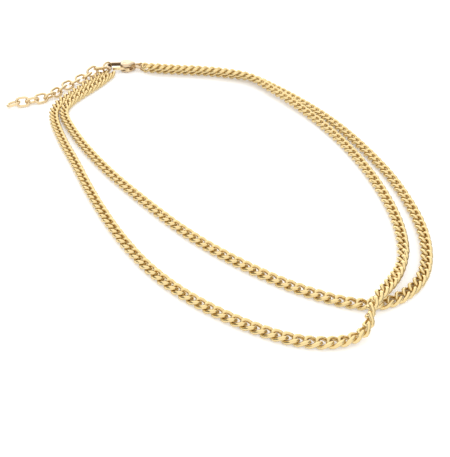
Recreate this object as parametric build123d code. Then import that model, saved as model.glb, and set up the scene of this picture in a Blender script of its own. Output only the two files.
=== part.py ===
from build123d import *

import os
from math import atan2, cos, degrees, pi, radians, sin, tan

# Two-strand chain anklet, fastened and lying flat. Millimetres, +Z up. Z = 0 is the surface
# that it lies on, X = Y = 0 is near the middle of the whole piece, and its front is towards -Y.

# Fine curb chain: each run of it is a round tube as wide as the chain.
CHAIN_RADIUS = 1.0
CROSSING_RISE = 2.3
STACK_RISE = 1.9
ARC_SHARE = 0.45

# Jump rings of round wire.
RING_WIRE = 0.5
END_RING_OUTER = 3.2
CLASP_RING_OUTER = 2.4

# Extension chain of oval links.
LINK_LENGTH = 3.6
LINK_WIDTH = 2.6
LINK_WIRE = 0.62
LINK_PLAY = 0.12
LINK_PITCH = LINK_LENGTH - 2 * LINK_WIRE - LINK_PLAY

# Lobster clasp. In its own axes u runs from the tail ring to the nose, v towards the gate and
# w up, with u = v = 0 at the middle of the tail ring and w = 0 on the surface below.
CLASP_TAIL = (-15.0, 48.9)
CLASP_HEADING = 184
SHELL_HEIGHT = 2.4
MIDDLE = SHELL_HEIGHT / 2
TAIL_RING_RADIUS = 1.0
TAIL_WIRE_RADIUS = 0.38
SHELL_TAIL_U = 1.5
SHELL_TAIL_RADIUS = 0.75
SHELL_BELLY_U = 3.2
SHELL_BELLY_RADIUS = 1.9
SHELL_FRONT_U = 4.7
SHELL_CORNER_RADIUS = 0.4
SHELL_EDGE_RADIUS = 0.65
HOOK_WIRE_RADIUS = 0.5
HOOK_ROOT_U = 3.0
HOOK_BEND_U = 6.8
HOOK_BEND_RADIUS = 1.45
HOOK_WRAP_DEG = 66
SLOT_HEIGHT = 1.0
SLOT_START_U = 1.5
SLOT_START_V = -0.2
PIVOT = (3.5, 0.85)
PIN_RADIUS = 0.35
PIN_LENGTH = 2.3
PIN_HOLE_RADIUS = 0.38
LEVER_HOLE_RADIUS = 0.4
LEVER_HEIGHT = 0.76
LEVER_HUB_RADIUS = 0.74
GATE_TIP = (6.4, 1.33)
GATE_TIP_RADIUS = 0.32
TAB_TIP = (2.6, 2.35)
TAB_TIP_RADIUS = 0.35
LEVER_EDGE_RADIUS = 0.12

# The end ring hangs on the hook's bend, END_RING_BEND_DEG round it from the nose, and leans out
# along the bend's own radius by END_RING_LEAN.
END_RING_BEND_DEG = 46
END_RING_LEAN = 0.4

# The first extender link hangs on the end ring this far up the ring's outer side.
FIRST_LINK_DEG = 12

# Routes of the chain: x, y and how far the tube's middle is above its resting height. Both
# strands run from the end ring round the front to the clasp. The short one passes under at the
# front right and the long one over it, and at the back the long one lies on the short one.
SHORT_STRAND = [
    (-21.9, 44.5, 0), (-23.9, 39.5, 0), (-25.9, 35.9, 0), (-27.9, 32.5, 0), (-29.6, 29.2, 0),
    (-30.5, 25.8, 0), (-29.9, 22.3, 0), (-28.1, 18.3, 0), (-24.7, 11.6, 0), (-20.5, 4.7, 0),
    (-16.1, -1.8, 0), (-11.1, -8.2, 0), (-6.0, -14.4, 0), (-1.1, -20.1, 0), (4.4, -25.6, 0),
    (10.3, -30.5, 0), (16.7, -35.1, 0), (22.1, -38.1, 0), (27.4, -40.3, 0), (32.8, -41.0, 0),
    (37.8, -38.3, 0), (41.7, -33.5, 0), (43.7, -26.6, 0), (44.1, -19.0, 0), (43.2, -11.4, 0),
    (41.7, -3.7, 0), (39.2, 4.1, 0), (36.0, 12.3, 0), (32.2, 20.0, 0), (27.9, 26.8, 0),
    (22.7, 33.8, 0), (18.2, 39.0, 0), (15.9, 41.6, 0), (13.4, 43.2, 0), (9.9, 44.1, 0),
    (5.4, 45.3, 0), (0.8, 46.2, 0), (-3.9, 46.6, 0), (-8.6, 47.2, 0), (-12.5, 47.8, 0),
]
LONG_STRAND = [
    (-24.0, 45.0, 0), (-26.4, 40.0, 0), (-28.4, 36.4, 0), (-30.4, 32.9, 0), (-32.1, 29.3, 0),
    (-32.8, 25.4, 0), (-32.0, 20.9, 0), (-30.2, 15.9, 0), (-27.4, 9.3, 0), (-23.9, 2.1, 0),
    (-21.1, -4.4, 0), (-17.8, -11.4, 0), (-14.1, -18.6, 0), (-10.1, -25.4, 0), (-5.6, -31.8, 0),
    (0.0, -37.7, 0), (6.3, -42.6, 0), (13.0, -46.5, 0), (18.7, -48.8, 0), (23.9, -49.2, 0),
    (27.8, -47.0, 0.7), (30.6, -43.3, CROSSING_RISE), (33.8, -38.9, CROSSING_RISE),
    (36.4, -34.7, 0.9), (38.7, -29.9, 0), (39.8, -23.9, 0), (39.9, -16.7, 0), (39.0, -9.4, 0),
    (37.5, -2.2, 0), (35.4, 5.3, 0), (32.6, 12.7, 0), (29.3, 19.6, 0), (25.2, 26.2, 0.5),
    (19.6, 34.0, 0.9), (16.7, 37.9, 1.0), (14.4, 40.6, 1.2), (12.2, 42.1, 1.6),
    (9.3, 43.2, STACK_RISE), (5.2, 44.4, STACK_RISE), (0.7, 45.3, STACK_RISE),
    (-3.9, 45.7, STACK_RISE), (-8.6, 46.3, STACK_RISE), (-12.5, 46.9, STACK_RISE),
]

# Extender links from the end ring to the free end: heading, slope and roll about the heading,
# all in degrees. Neighbours lean opposite ways, and the last link lies almost flat.
EXTENDER_LINKS = [
    (192, -3, -33), (227, -14, 62), (246, 0, -32), (230, 0, 40),
    (235, 0, -31), (231, 0, 39), (247, 0, -42), (242, 0, 47),
    (224, 0, -52), (212, 0, 55), (204, 0, -55), (196, 0, 57),
    (186, -14, -4),
]


def corner_radii(points):
    """Radius of the arc at each inner point of a route: as large as its two runs allow."""
    radii = []
    for before, here, after in zip(points, points[1:], points[2:]):
        run_in = Vector(*here) - Vector(*before)
        run_out = Vector(*after) - Vector(*here)
        half_turn = radians(run_in.get_angle(run_out)) / 2
        radii.append(ARC_SHARE * min(run_in.length, run_out.length) / tan(half_turn))
    return radii


def chain_tube(name, route):
    """Round tube along a route, of straight runs joined by tangent arcs."""
    points = [(x, y, CHAIN_RADIUS + rise) for x, y, rise in route]
    radii = corner_radii(points)
    path = FilletPolyline(*points, radius=radii)
    start = Plane(origin=path @ 0, z_dir=path % 0)
    tube = sweep(start * Circle(CHAIN_RADIUS), path=path)
    expected = pi * CHAIN_RADIUS**2 * path.length
    print(f"{name}: {path.length:.1f} mm, volume {tube.volume:.1f} of {expected:.1f} mm3")
    print("  radii", [round(radius, 1) for radius in radii])
    return tube


def jump_ring(outer, centre, heading):
    """Ring of round wire that stands on edge, in the upright plane with this heading."""
    origin = (centre[0], centre[1], outer / 2)
    upright = Plane(origin=origin, x_dir=direction(heading, 0), z_dir=direction(heading - 90, 0))
    return upright * Torus((outer - RING_WIRE) / 2, RING_WIRE / 2)


def oval_link():
    """One extender link, lying in XY with its length along X."""
    half_straight = (LINK_LENGTH - LINK_WIDTH) / 2
    bend = (LINK_WIDTH - LINK_WIRE) / 2
    path = Wire(
        [
            Line((-half_straight, bend), (half_straight, bend)).edge(),
            CenterArc((half_straight, 0), bend, 90, -180).edge(),
            Line((half_straight, -bend), (-half_straight, -bend)).edge(),
            CenterArc((-half_straight, 0), bend, -90, -180).edge(),
        ]
    )
    start = Plane(origin=(-half_straight, bend, 0), z_dir=(1, 0, 0))
    return sweep(start * Circle(LINK_WIRE / 2), path=path)


def direction(heading, slope):
    """Unit vector at a heading in the plan and a slope above it."""
    level = cos(radians(slope))
    return Vector(level * cos(radians(heading)), level * sin(radians(heading)), sin(radians(slope)))


def extender_links(start):
    """Links in a row from a contact point, each turned about its own length by its roll."""
    links = []
    contact = start
    for heading, slope, roll in EXTENDER_LINKS:
        along = direction(heading, slope)
        side = direction(heading + 90, 0)
        up = along.cross(side)
        normal = up * cos(radians(roll)) + side * sin(radians(roll))
        centre = contact + along * (LINK_PITCH / 2)
        links.append(Plane(origin=centre, x_dir=along, z_dir=normal) * oval_link())
        contact = contact + along * LINK_PITCH
    return links


def clasp_axes():
    """The clasp's own axes, with the origin on the surface under the tail ring."""
    return Plane(origin=(*CLASP_TAIL, 0), x_dir=direction(CLASP_HEADING, 0), z_dir=(0, 0, 1))


def bend_point(angle, radius=HOOK_BEND_RADIUS):
    """Point of the hook's bend in the clasp's axes, by its angle from the nose."""
    return (HOOK_BEND_U + radius * cos(radians(angle)), radius * sin(radians(angle)), MIDDLE)


def hook():
    """The hook: a rod along the spine and round the nose, with a ball at its tip."""
    spine = Line((HOOK_ROOT_U, -HOOK_BEND_RADIUS), (HOOK_BEND_U, -HOOK_BEND_RADIUS))
    bend = CenterArc((HOOK_BEND_U, 0), HOOK_BEND_RADIUS, -90, 90 + HOOK_WRAP_DEG)
    path = Pos(0, 0, MIDDLE) * Wire([spine.edge(), bend.edge()])
    start = Plane(origin=path @ 0, z_dir=path % 0)
    rod = sweep(start * Circle(HOOK_WIRE_RADIUS), path=path)
    tip = Pos(*bend_point(HOOK_WRAP_DEG)) * Sphere(HOOK_WIRE_RADIUS)
    return rod + tip


def rims(plate):
    """Edges of a plate's lowest and highest faces."""
    levels = plate.faces().sort_by(Axis.Z)
    return levels[0].edges() + levels[-1].edges()


def shell():
    """The clasp's rounded body, which narrows to the tail ring."""
    tail = Pos(SHELL_TAIL_U, 0) * Circle(SHELL_TAIL_RADIUS)
    belly = Pos(SHELL_BELLY_U, 0) * Circle(SHELL_BELLY_RADIUS)
    outline = make_hull((tail + belly).edges())
    width = 2 * SHELL_BELLY_RADIUS
    ahead = Pos(SHELL_FRONT_U, 0) * Rectangle(width, width, align=(Align.MIN, Align.CENTER))
    body = extrude(outline - ahead, SHELL_HEIGHT)
    front_corners = body.edges().filter_by(Axis.Z).sort_by(Axis.X)[-2:]
    body = fillet(front_corners, SHELL_CORNER_RADIUS)
    return fillet(rims(body), SHELL_EDGE_RADIUS)


def clasp_body():
    """Shell, hook and tail ring as one casting, slotted for the lever and bored for its pin."""
    tail_ring = Pos(0, 0, MIDDLE) * Torus(TAIL_RING_RADIUS, TAIL_WIRE_RADIUS)
    tail_hole = Pos(0, 0, MIDDLE) * Cylinder(TAIL_RING_RADIUS - TAIL_WIRE_RADIUS, SHELL_HEIGHT)
    slot_length = SHELL_FRONT_U - SLOT_START_U + SLOT_HEIGHT
    slot = Pos(SLOT_START_U, SLOT_START_V, MIDDLE) * Box(
        slot_length, 2 * SHELL_BELLY_RADIUS, SLOT_HEIGHT, align=(Align.MIN, Align.MIN, Align.CENTER)
    )
    pin_hole = Pos(*PIVOT, MIDDLE) * Cylinder(PIN_HOLE_RADIUS, 2 * SHELL_HEIGHT)
    return shell() + tail_ring + hook() - tail_hole - slot - pin_hole


def clasp_lever():
    """Gate, hub and thumb tab in one flat piece."""
    hub = Pos(*PIVOT) * Circle(LEVER_HUB_RADIUS)
    gate = make_hull((hub + Pos(*GATE_TIP) * Circle(GATE_TIP_RADIUS)).edges())
    tab = make_hull((hub + Pos(*TAB_TIP) * Circle(TAB_TIP_RADIUS)).edges())
    blank = extrude(gate + tab, LEVER_HEIGHT)
    blank = fillet(rims(blank), LEVER_EDGE_RADIUS)
    hole = Pos(*PIVOT, 0) * Cylinder(LEVER_HOLE_RADIUS, 4 * LEVER_HEIGHT)
    return Pos(0, 0, MIDDLE - LEVER_HEIGHT / 2) * (blank - hole)


def clasp_pin():
    """The pin that the lever turns on, across both cheeks of the shell."""
    return Pos(*PIVOT, MIDDLE) * Cylinder(PIN_RADIUS, PIN_LENGTH)


def end_ring_place(axes):
    """Centre in the plan, and plan heading, of the end ring on the hook's bend."""
    on_bend = axes.from_local_coords(bend_point(END_RING_BEND_DEG))
    heading = CLASP_HEADING + END_RING_BEND_DEG
    centre = on_bend + direction(heading, 0) * END_RING_LEAN
    return centre, heading


def first_contact(ring_centre, ring_heading):
    """Where the first extender link bears on the end ring's wire."""
    ring_radius = (END_RING_OUTER - RING_WIRE) / 2
    middle = Vector(ring_centre.X, ring_centre.Y, END_RING_OUTER / 2)
    on_wire = middle + direction(ring_heading, FIRST_LINK_DEG) * ring_radius
    first_heading, first_slope, _ = EXTENDER_LINKS[0]
    return on_wire - direction(first_heading, first_slope) * ((RING_WIRE + LINK_PLAY) / 2)


def clasp_ring_place():
    """Centre and plan heading of the ring between the clasp's tail ring and the strands."""
    strand_ends = (Vector(*SHORT_STRAND[-1][:2]) + Vector(*LONG_STRAND[-1][:2])) / 2
    tail = Vector(*CLASP_TAIL)
    span = strand_ends - tail
    heading = degrees(atan2(span.Y, span.X))
    ring_radius = (CLASP_RING_OUTER - RING_WIRE) / 2
    play = (TAIL_RING_RADIUS - TAIL_WIRE_RADIUS - RING_WIRE / 2) / 2
    return tail + span.normalized() * (ring_radius + play), heading


def build():
    """All pieces by node name."""
    axes = clasp_axes()
    end_centre, end_heading = end_ring_place(axes)
    ring_centre, ring_heading = clasp_ring_place()
    pieces = {
        "chain_strand_short": chain_tube("chain_strand_short", SHORT_STRAND),
        "chain_strand_long": chain_tube("chain_strand_long", LONG_STRAND),
        "clasp_ring": jump_ring(CLASP_RING_OUTER, tuple(ring_centre), ring_heading),
        "end_ring": jump_ring(END_RING_OUTER, tuple(end_centre), end_heading),
        "clasp_body": axes * clasp_body(),
        "clasp_lever": axes * clasp_lever(),
        "clasp_pin": axes * clasp_pin(),
    }
    contact = first_contact(end_centre, end_heading)
    for number, link in enumerate(extender_links(contact), start=1):
        pieces[f"extender_link_{number:02d}"] = link
    return pieces


def main():
    os.makedirs("parts", exist_ok=True)
    pieces = build()
    for name, piece in pieces.items():
        export_step(piece, f"parts/{name}.step")
    whole = Compound(children=list(pieces.values())).bounding_box()
    print("low corner ", [round(value, 2) for value in whole.min])
    print("high corner", [round(value, 2) for value in whole.max])
    pivot = clasp_axes().from_local_coords((*PIVOT, MIDDLE))
    print("lever pivot", [round(value, 3) for value in pivot])


main()
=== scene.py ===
from math import cos, radians, sin

import bpy
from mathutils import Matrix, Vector


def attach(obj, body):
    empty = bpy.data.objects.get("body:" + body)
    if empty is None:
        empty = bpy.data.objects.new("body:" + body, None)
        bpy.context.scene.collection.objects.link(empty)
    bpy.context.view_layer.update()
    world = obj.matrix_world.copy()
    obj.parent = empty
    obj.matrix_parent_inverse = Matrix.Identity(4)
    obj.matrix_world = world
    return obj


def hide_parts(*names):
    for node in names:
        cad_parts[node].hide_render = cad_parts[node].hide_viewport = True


# Two-strand chain anklet of yellow gold colour. Metres, +Z up, lying on the surface z = 0.
MM = 0.001
SEED = 7

# The clasp lies as in CAD: its tail ring, the heading of its nose, and the middle of the
# hook's opening by its distance from the tail ring and its height.
CLASP_TAIL = (-15.0 * MM, 48.9 * MM)
CLASP_HEADING = radians(184)
HOOK_MIDDLE = (6.1 * MM, 1.2 * MM)

# Which of the clasp's surfaces count as facing that opening and get painted shade: how squarely,
# and how near.
HOOK_FACING = (-0.2, 0.35)
HOOK_REACH = (2.2 * MM, 2.8 * MM)

# Curb links, all bent from the same round wire.
LINK_PITCH = 1.75 * MM
LINK_HALF_LENGTH = 1.235 * MM
LINK_HALF_WIDTH = 0.81 * MM
LINK_TWIST = -0.41 * MM
LINK_WIRE = 0.355 * MM
LINK_STEPS = 16
WIRE_SIDES = 6
LINK_SWAY = radians(3)

# Height of a lying chain's middle, and how finely its route is divided between two points.
CHAIN_MIDDLE = 0.79 * MM
ROUTE_STEPS = 24

# Noises in the finish of the metal: grains per metre, and levels of finer detail.
DRIFT = (90.0, 3.0)
SMEARS = (420.0, 4.0)
GRAIN = (5200.0, 2.0)

# What the smears and the painted shade in openings add to the roughness, how far a surface faces
# an opening before painted shade darkens it, and how the fine grain stands out.
SMEAR_ROUGHNESS = 0.14
SHADE_ROUGHNESS = 0.15
SHADE_START = 0.2
GRAIN_STRENGTH = 0.12
GRAIN_DEPTH = 0.02 * MM

# Studio, in metres: an even room, one soft lamp, and cards that only the metal mirrors, each
# with its place, width, height and brightness.
FLOOR_REACH = 3.0
FLOOR_WHITE = (0.9, 0.9, 0.9, 1)
FLOOR_ROUGHNESS = 0.7
FLOOR_GLOW = 0.2
ROOM_STRENGTH = 1.3
LAMP_PLACE = (-0.25, 0.35, 0.75)
LAMP_SIZE = 0.9
LAMP_POWER = 0.5
CARDS = {
    "card_left": ((-0.6, 0, 0.15), 1.2, 0.4, 0.25),
    "card_right": ((0.6, 0, 0.15), 1.2, 0.4, 0.25),
    "card_back": ((0, 0.9, 0.25), 2.4, 0.5, 2.2),
}
WHITE = (1, 1, 1, 1)
BLACK = (0, 0, 0, 1)

# Camera: lens and sensor width in millimetres, its place, its tilt up from straight down, and
# the nearest and farthest that it sees, in metres.
CAMERA_LENS = 56.3
CAMERA_SENSOR = 36.0
CAMERA_PLACE = (7.6 * MM, -125.3 * MM, 81.56 * MM)
CAMERA_TILT = radians(52.4)
CAMERA_NEAR = 0.005
CAMERA_FAR = 20.0

# Routes of the chain: x, y and rise of its middle in millimetres, and the turn of the links
# about the route in degrees.
SHORT_STRAND = [
    (-21.75, 44.5, 0, 0), (-23.8, 39.5, 0, 0), (-25.9, 35.9, 0, 0), (-27.9, 32.5, 0, 0),
    (-29.6, 29.2, 0, 0), (-30.5, 25.8, 0, 0), (-29.9, 22.3, 0, 0), (-28.1, 18.3, 0, 0),
    (-24.7, 11.6, 0, 0), (-20.5, 4.7, 0, 0), (-16.1, -1.8, 0, 0), (-11.1, -8.2, 0, 0),
    (-6.0, -14.4, 0, 0), (-1.1, -20.1, 0, 0), (4.4, -25.6, 0, 0), (10.3, -30.5, 0, 0),
    (16.7, -35.1, 0, 0), (22.1, -38.1, 0, 0), (27.4, -40.3, 0, 0), (32.8, -41.0, 0, 0),
    (37.8, -38.3, 0, 0), (41.7, -33.5, 0, 0), (43.7, -26.6, 0, 0), (44.1, -19.0, 0, 0),
    (43.2, -11.4, 0, 0), (41.7, -3.7, 0, 0), (39.2, 4.1, 0, 0), (36.0, 12.3, 0, 0),
    (32.2, 20.0, 0, 0), (27.9, 26.8, 0, 0), (22.7, 33.8, 0, 0), (18.2, 39.0, 0, 0),
    (15.9, 41.6, 0, 0), (13.4, 43.1, 0, 0), (9.9, 44.0, 0, 0), (5.4, 45.15, 0, 0),
    (0.8, 46.05, 0, 0), (-3.9, 46.45, 0, 0), (-8.6, 47.05, 0, 0), (-12.35, 47.75, 0, 0),
]
LONG_STRAND = [
    (-23.85, 45.0, 0, 0), (-26.35, 40.0, 0, 0), (-28.4, 36.4, 0, 0), (-30.4, 32.9, 0, 0),
    (-32.1, 29.3, 0, 0), (-32.8, 25.4, 0, 0), (-32.0, 20.9, 0, 0), (-30.2, 15.9, 0, 0),
    (-27.4, 9.3, 0, 0), (-23.9, 2.1, 0, 0), (-21.1, -4.4, 0, 0), (-17.8, -11.4, 0, 0),
    (-14.1, -18.6, 0, 0), (-10.1, -25.4, 0, 0), (-5.6, -31.8, 0, 0), (0.0, -37.7, 0, 0),
    (6.3, -42.6, 0, 0), (13.0, -46.5, 0, 0), (18.7, -48.8, 0, 0), (23.6, -49.3, 0, 0),
    (27.4, -48.6, 0.3, -20), (29.7, -47.1, 1.0, -40), (30.6, -43.9, 1.9, -90),
    (31.7, -41.5, 1.8, -40), (33.8, -38.6, 1.5, 0), (36.4, -34.7, 0.7, 0),
    (38.7, -29.9, 0.35, -60), (39.8, -23.9, 0.1, 0), (39.9, -16.7, 0, 0), (39.0, -9.4, 0, 0),
    (37.5, -2.2, 0, 0), (35.4, 5.3, 0, 0), (32.6, 12.7, 0, 0), (29.3, 19.6, 0, 0),
    (25.2, 26.2, 0.5, 0), (19.6, 34.0, 0.8, 0), (16.7, 37.9, 0.9, 0), (14.4, 40.5, 1.15, 0),
    (12.2, 41.7, 1.3, 0), (9.3, 42.75, 1.4, 0), (5.2, 43.95, 1.4, 0), (0.7, 44.8, 1.4, 0),
    (-3.9, 45.2, 1.4, 0), (-8.6, 45.8, 1.4, 0), (-12.5, 46.45, 1.4, 0),
]


class Value:
    """An output of a node, which sums and products can be made with."""

    def __init__(self, graph, socket):
        self.graph = graph
        self.socket = socket

    def maths(self, operation, *values):
        return self.graph.node("ShaderNodeMath", {"operation": operation}, dict(enumerate(values)))

    def __add__(self, other):
        return self.maths("ADD", self, other)

    def __radd__(self, other):
        return self.maths("ADD", other, self)

    def __sub__(self, other):
        return self.maths("SUBTRACT", self, other)

    def __rsub__(self, other):
        return self.maths("SUBTRACT", other, self)

    def __mul__(self, other):
        return self.maths("MULTIPLY", self, other)

    def __rmul__(self, other):
        return self.maths("MULTIPLY", other, self)

    def __truediv__(self, other):
        return self.maths("DIVIDE", self, other)

    def __rtruediv__(self, other):
        return self.maths("DIVIDE", other, self)


class Graph:
    """A node tree that nodes are added to, for a material or for geometry."""

    def __init__(self, tree):
        self.tree = tree

    def node(self, kind, settings=None, inputs=None, output=0):
        """Adds a node: its settings first, then the values or links of its sockets."""
        made = self.tree.nodes.new(kind)
        for name, setting in (settings or {}).items():
            setattr(made, name, setting)
        for key, value in (inputs or {}).items():
            socket = find_socket(made.inputs, key)
            if isinstance(value, Value):
                self.tree.links.new(value.socket, socket)
            else:
                socket.default_value = value
        if not made.outputs:
            return None
        return Value(self, find_socket(made.outputs, output))

    def also(self, value, output):
        """Another output of the node that a value comes from."""
        return Value(self, find_socket(value.socket.node.outputs, output))


def find_socket(sockets, key):
    """A socket by its place in the list, its identifier or its name."""
    if isinstance(key, int):
        return sockets[key]
    for socket in sockets:
        if socket.identifier == key:
            return socket
    return sockets[key]


# ---------------------------------------------------------------- materials


def noise(graph, where, scale, detail):
    """Soft noise from 0 to 1 at a number of grains per metre."""
    return graph.node(
        "ShaderNodeTexNoise",
        {"noise_dimensions": "3D"},
        {"Vector": where, "Scale": scale, "Detail": detail},
        "Fac",
    )


def mix(graph, factor, first, second):
    """Colour between two colours."""
    return graph.node(
        "ShaderNodeMix",
        {"data_type": "RGBA"},
        {"Factor_Float": factor, "A_Color": first, "B_Color": second},
        "Result_Color",
    )


def ramp(graph, value, start, end, first=0.0, last=1.0):
    """Goes from first to last as a value goes from start to end, and stays there."""
    return graph.node("ShaderNodeMapRange", {"clamp": True}, {
        "Value": value, "From Min": start, "From Max": end, "To Min": first, "To Max": last,
    })


def link_hollow(graph, where):
    """How far a point of a curb link faces the link's own opening, from 0 to 1."""
    return graph.node("ShaderNodeAttribute", {"attribute_name": "inner_side"}, output="Fac")


def clasp_hollow(graph, where):
    """The same for the clasp, whose hook has an opening between the spine and the gate."""
    middle = (
        CLASP_TAIL[0] + HOOK_MIDDLE[0] * cos(CLASP_HEADING),
        CLASP_TAIL[1] + HOOK_MIDDLE[0] * sin(CLASP_HEADING),
        HOOK_MIDDLE[1],
    )
    towards = graph.node("ShaderNodeVectorMath", {"operation": "SUBTRACT"}, {0: middle, 1: where})
    distance = graph.node("ShaderNodeVectorMath", {"operation": "LENGTH"}, {0: towards}, "Value")
    inward = graph.node("ShaderNodeVectorMath", {"operation": "NORMALIZE"}, {0: towards})
    facing = graph.node("ShaderNodeVectorMath", {"operation": "DOT_PRODUCT"},
                        {0: graph.also(where, "Normal"), 1: inward}, "Value")
    turned = ramp(graph, facing, *HOOK_FACING)
    near = ramp(graph, distance, *HOOK_REACH, 1.0, 0.0)
    return turned * near


def gold(name, bright, deep, polish, shadow=None, depth=0.0, hollow=None):
    """Polished plated metal, whose colour drifts between two tones. Where hollow says that it
    faces into an opening it goes towards shadow, by depth at most, and is less polished."""
    material = bpy.data.materials.new(name)
    material.use_nodes = True
    material.node_tree.nodes.clear()
    graph = Graph(material.node_tree)
    where = graph.node("ShaderNodeTexCoord", output="Object")
    colour = mix(graph, noise(graph, where, *DRIFT), bright, deep)
    rough = polish + SMEAR_ROUGHNESS * noise(graph, where, *SMEARS)
    # Painted shade: the colour goes towards the shadow colour where hollow says the surface faces
    # into an opening.
    if hollow:
        shade = ramp(graph, hollow(graph, where), SHADE_START, 1.0, 0.0, depth)
        colour = mix(graph, shade, colour, shadow)
        rough = rough + SHADE_ROUGHNESS * shade
    bump = graph.node("ShaderNodeBump", None, {
        "Strength": GRAIN_STRENGTH,
        "Distance": GRAIN_DEPTH,
        "Height": noise(graph, where, *GRAIN),
    })
    shader = graph.node("ShaderNodeBsdfPrincipled", None, {
        "Base Color": colour, "Metallic": 1.0, "Roughness": rough, "Normal": bump,
    })
    graph.node("ShaderNodeOutputMaterial", None, {"Surface": shader})
    return material


def chain_gold():
    """Warm yellow gold of the curb chain, browner inside its links by painted shade."""
    return gold(
        "chain_gold",
        bright=(0.75, 0.59, 0.31, 1),
        deep=(0.72, 0.55, 0.26, 1),
        polish=0.12,
        shadow=(0.45, 0.22, 0.05, 1),
        depth=0.35,
        hollow=link_hollow,
    )


def pale_gold():
    """Paler gold of the extender, the rings, the lever and its pin."""
    return gold(
        "pale_gold",
        bright=(0.77, 0.62, 0.39, 1),
        deep=(0.73, 0.56, 0.32, 1),
        polish=0.14,
    )


def clasp_gold():
    """Duller rosy gold of the clasp's casting, whose tone is darker than the pale gold partly as
    painted shade, and dark inside its hook by painted shade.
    """
    return gold(
        "clasp_gold",
        bright=(0.68, 0.54, 0.37, 1),
        deep=(0.58, 0.44, 0.28, 1),
        polish=0.2,
        shadow=(0.08, 0.04, 0.015, 1),
        depth=0.92,
        hollow=clasp_hollow,
    )


# ---------------------------------------------------------------- curb chain


def number_input(tree, name, kind="NodeSocketFloat"):
    """A named input of a geometry tree."""
    return tree.interface.new_socket(name=name, in_out="INPUT", socket_type=kind)


def link_shape(graph, sizes):
    """One curb link: a ring of wire, twisted so that its neighbours lie flat with it."""
    ring = graph.node("GeometryNodeCurvePrimitiveCircle", {"mode": "RADIUS"},
                      {"Resolution": LINK_STEPS, "Radius": 1.0})
    place = graph.node("GeometryNodeInputPosition")
    x = graph.node("ShaderNodeSeparateXYZ", None, {"Vector": place}, "X")
    y = graph.also(x, "Y")
    bent = graph.node("ShaderNodeCombineXYZ", None, {
        "X": x * sizes["Half Length"],
        "Y": y * sizes["Half Width"],
        "Z": x * y * sizes["Twist"] * 2.0,
    })
    wire = graph.node("GeometryNodeSetPosition", None, {"Geometry": ring, "Position": bent})
    wire = graph.node("GeometryNodeStoreNamedAttribute", {"data_type": "FLOAT_VECTOR"},
                      {"Geometry": wire, "Name": "wire_middle",
                       "Value": graph.node("GeometryNodeInputPosition")})
    section = graph.node("GeometryNodeCurvePrimitiveCircle", {"mode": "RADIUS"},
                         {"Resolution": WIRE_SIDES, "Radius": sizes["Wire Radius"]})
    solid = graph.node("GeometryNodeCurveToMesh", None, {"Curve": wire, "Profile Curve": section})
    solid = graph.node("GeometryNodeSetShadeSmooth", None, {"Geometry": solid})
    middle = graph.node("GeometryNodeInputNamedAttribute", {"data_type": "FLOAT_VECTOR"},
                        {"Name": "wire_middle"}, "Attribute")
    here = graph.node("GeometryNodeInputPosition")
    out = graph.node("ShaderNodeVectorMath", {"operation": "SUBTRACT"}, {0: here, 1: middle})
    inward = graph.node("ShaderNodeVectorMath", {"operation": "NORMALIZE"}, {0: middle})
    facing = graph.node("ShaderNodeVectorMath", {"operation": "DOT_PRODUCT"},
                        {0: out, 1: inward}, "Value")
    # inner_side says how far each point faces the link's own opening; it masks the painted shade
    # inside the links.
    solid = graph.node("GeometryNodeStoreNamedAttribute", {"data_type": "FLOAT"},
                       {"Geometry": solid, "Name": "inner_side",
                        "Value": 0.0 - facing / sizes["Wire Radius"]})
    return graph.node("GeometryNodeRemoveAttribute", None,
                      {"Geometry": solid, "Name": "wire_middle"})


def chain_tree(material):
    """Geometry tree that lays curb links along a route."""
    tree = bpy.data.node_groups.new("curb_chain", "GeometryNodeTree")
    tree.interface.new_socket(name="Geometry", in_out="INPUT", socket_type="NodeSocketGeometry")
    for name in ("Pitch", "Half Length", "Half Width", "Twist", "Wire Radius", "Sway"):
        number_input(tree, name)
    number_input(tree, "Seed", "NodeSocketInt")
    tree.interface.new_socket(name="Geometry", in_out="OUTPUT", socket_type="NodeSocketGeometry")
    graph = Graph(tree)
    route = graph.node("NodeGroupInput", output="Geometry")
    sizes = {socket.name: Value(graph, socket) for socket in route.socket.node.outputs
             if socket.name and socket.name != "Geometry"}
    length = graph.node("GeometryNodeCurveLength", None, {"Curve": route})
    count = length.maths("ROUND", length / sizes["Pitch"]) + 1.0
    points = graph.node("GeometryNodeCurveToPoints", {"mode": "COUNT"},
                        {"Curve": route, "Count": count})
    turn = graph.node("FunctionNodeAxesToRotation", {"primary_axis": "X", "secondary_axis": "Y"},
                      {0: graph.also(points, "Tangent"), 1: graph.also(points, "Normal")})
    sway = graph.node("FunctionNodeRandomValue", {"data_type": "FLOAT"},
                      {"Min_001": 0.0 - sizes["Sway"], "Max_001": sizes["Sway"],
                       "Seed": sizes["Seed"]}, "Value_001")
    about = graph.node("FunctionNodeAxisAngleToRotation", None,
                       {"Axis": (1.0, 0.0, 0.0), "Angle": sway})
    turn = graph.node("FunctionNodeRotateRotation", {"rotation_space": "LOCAL"},
                      {0: turn, 1: about})
    links = graph.node("GeometryNodeInstanceOnPoints", None,
                       {"Points": points, "Instance": link_shape(graph, sizes), "Rotation": turn})
    made = graph.node("GeometryNodeRealizeInstances", None, {"Geometry": links})
    made = graph.node("GeometryNodeSetMaterial", None, {"Geometry": made, "Material": material})
    graph.node("NodeGroupOutput", None, {"Geometry": made})
    return tree


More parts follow.
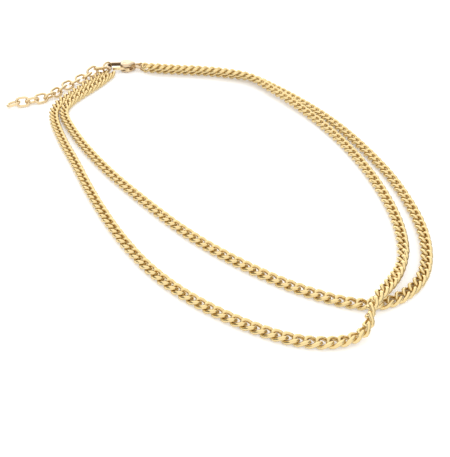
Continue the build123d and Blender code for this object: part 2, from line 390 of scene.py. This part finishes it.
def route_curve(name, route):
    """Smooth line through the air along a route's control points."""
    data = bpy.data.curves.new(name, "CURVE")
    data.dimensions = "3D"
    data.twist_mode = "Z_UP"
    data.resolution_u = ROUTE_STEPS
    spline = data.splines.new("NURBS")
    spline.points.add(len(route) - 1)
    for point, (x, y, rise, turn) in zip(spline.points, route):
        point.co = (x * MM, y * MM, rise * MM + CHAIN_MIDDLE, 1.0)
        point.tilt = radians(turn)
    spline.order_u = 3
    spline.use_endpoint_u = True
    curve = bpy.data.objects.new(name, data)
    bpy.context.scene.collection.objects.link(curve)
    return curve


def set_input(modifier, name, value):
    """A geometry modifier's input, by the name that its tree gives it."""
    for item in modifier.node_group.interface.items_tree:
        if item.in_out == "INPUT" and item.name == name:
            modifier[item.identifier] = value


def curb_chain(name, node, route, tree, material, seed):
    """A run of curb links along a route, which stands for a tube of the frame."""
    curve = route_curve(name + "_route", route)
    modifier = curve.modifiers.new("links", "NODES")
    modifier.node_group = tree
    sizes = {"Pitch": LINK_PITCH, "Half Length": LINK_HALF_LENGTH, "Half Width": LINK_HALF_WIDTH,
             "Twist": LINK_TWIST, "Wire Radius": LINK_WIRE, "Sway": LINK_SWAY, "Seed": seed}
    for label, value in sizes.items():
        set_input(modifier, label, value)
    bpy.context.view_layer.update()
    depsgraph = bpy.context.evaluated_depsgraph_get()
    mesh = bpy.data.meshes.new_from_object(
        curve.evaluated_get(depsgraph), preserve_all_data_layers=True, depsgraph=depsgraph
    )
    mesh.name = name
    mesh.materials.clear()
    mesh.materials.append(material)
    mesh.polygons.foreach_set("material_index", [0] * len(mesh.polygons))
    bpy.data.objects.remove(curve)
    piece = bpy.data.objects.new(name, mesh)
    bpy.context.scene.collection.objects.link(piece)
    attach(piece, "anklet")
    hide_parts(node)


def finish_metalwork(nodes):
    """The clasp, the rings and the extender stay as CAD gives them, and get their metals."""
    pale = pale_gold()
    casting = clasp_gold()
    for name, node in nodes.items():
        if name.startswith("chain_"):
            continue
        node.data.materials.clear()
        node.data.materials.append(casting if name == "clasp_body" else pale)


# ---------------------------------------------------------------- stage


def sheet(name, width, height):
    """Flat rectangle about the origin."""
    mesh = bpy.data.meshes.new(name)
    x = width / 2
    y = height / 2
    mesh.from_pydata([(-x, -y, 0), (x, -y, 0), (x, y, 0), (-x, y, 0)], [], [(0, 1, 2, 3)])
    made = bpy.data.objects.new(name, mesh)
    bpy.context.scene.collection.objects.link(made)
    return made


def matt(name, colour, glow, strength):
    """Dull material that also gives off light, and its shader."""
    material = bpy.data.materials.new(name)
    material.use_nodes = True
    shader = material.node_tree.nodes["Principled BSDF"]
    shader.inputs["Base Color"].default_value = colour
    shader.inputs["Specular IOR Level"].default_value = 0.0
    shader.inputs["Emission Color"].default_value = glow
    shader.inputs["Emission Strength"].default_value = strength
    return material, shader


def floor():
    """Plain pale surface."""
    made = sheet("floor", 2 * FLOOR_REACH, 2 * FLOOR_REACH)
    material, shader = matt("floor_white", FLOOR_WHITE, WHITE, FLOOR_GLOW)
    shader.inputs["Roughness"].default_value = FLOOR_ROUGHNESS
    made.data.materials.append(material)


def aim(item, place):
    """Puts a light or a card at a place, facing the middle of the anklet."""
    item.location = place
    item.rotation_euler = (Vector((0, 0, 0)) - Vector(place)).to_track_quat("-Z", "Y").to_euler()


def lamp():
    """One large soft light overhead."""
    data = bpy.data.lights.new("overhead", "AREA")
    data.shape = "RECTANGLE"
    data.size = LAMP_SIZE
    data.size_y = LAMP_SIZE
    data.energy = LAMP_POWER
    light = bpy.data.objects.new("overhead", data)
    aim(light, LAMP_PLACE)
    bpy.context.scene.collection.objects.link(light)


def mirror_card(name, place, width, height, brightness):
    """Card outside the view, for the metal to mirror."""
    card = sheet(name, width, height)
    aim(card, place)
    card.visible_camera = False
    card.visible_diffuse = False
    card.visible_shadow = False
    grey = (brightness, brightness, brightness, 1)
    material, _ = matt(name + "_grey", BLACK, grey, 1.0)
    card.data.materials.append(material)


def room_light():
    """Even white light from all round."""
    world = bpy.data.worlds.new("room")
    world.use_nodes = True
    background = world.node_tree.nodes["Background"]
    background.inputs["Color"].default_value = WHITE
    background.inputs["Strength"].default_value = ROOM_STRENGTH
    bpy.context.scene.world = world


def camera():
    """Camera in front of the anklet, looking down at it."""
    data = bpy.data.cameras.new("camera")
    data.lens = CAMERA_LENS
    data.sensor_width = CAMERA_SENSOR
    data.clip_start = CAMERA_NEAR
    data.clip_end = CAMERA_FAR
    made = bpy.data.objects.new("camera", data)
    made.location = CAMERA_PLACE
    made.rotation_euler = (CAMERA_TILT, 0, 0)
    bpy.context.scene.collection.objects.link(made)
    bpy.context.scene.camera = made


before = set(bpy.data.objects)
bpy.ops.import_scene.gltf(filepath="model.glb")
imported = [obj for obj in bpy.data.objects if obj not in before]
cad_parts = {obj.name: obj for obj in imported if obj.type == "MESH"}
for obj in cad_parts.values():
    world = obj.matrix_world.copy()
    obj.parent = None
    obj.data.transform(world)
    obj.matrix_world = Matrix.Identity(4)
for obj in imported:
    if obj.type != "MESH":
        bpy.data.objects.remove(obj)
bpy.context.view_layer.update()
bpy.context.scene.view_settings.view_transform = "Standard"

links_gold = chain_gold()
tree = chain_tree(links_gold)
curb_chain("short_strand_links", "chain_strand_short", SHORT_STRAND, tree, links_gold, SEED)
curb_chain("long_strand_links", "chain_strand_long", LONG_STRAND, tree, links_gold, SEED + 1)
finish_metalwork(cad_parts)

floor()
for name, measures in CARDS.items():
    mirror_card(name, *measures)
room_light()
lamp()
camera()
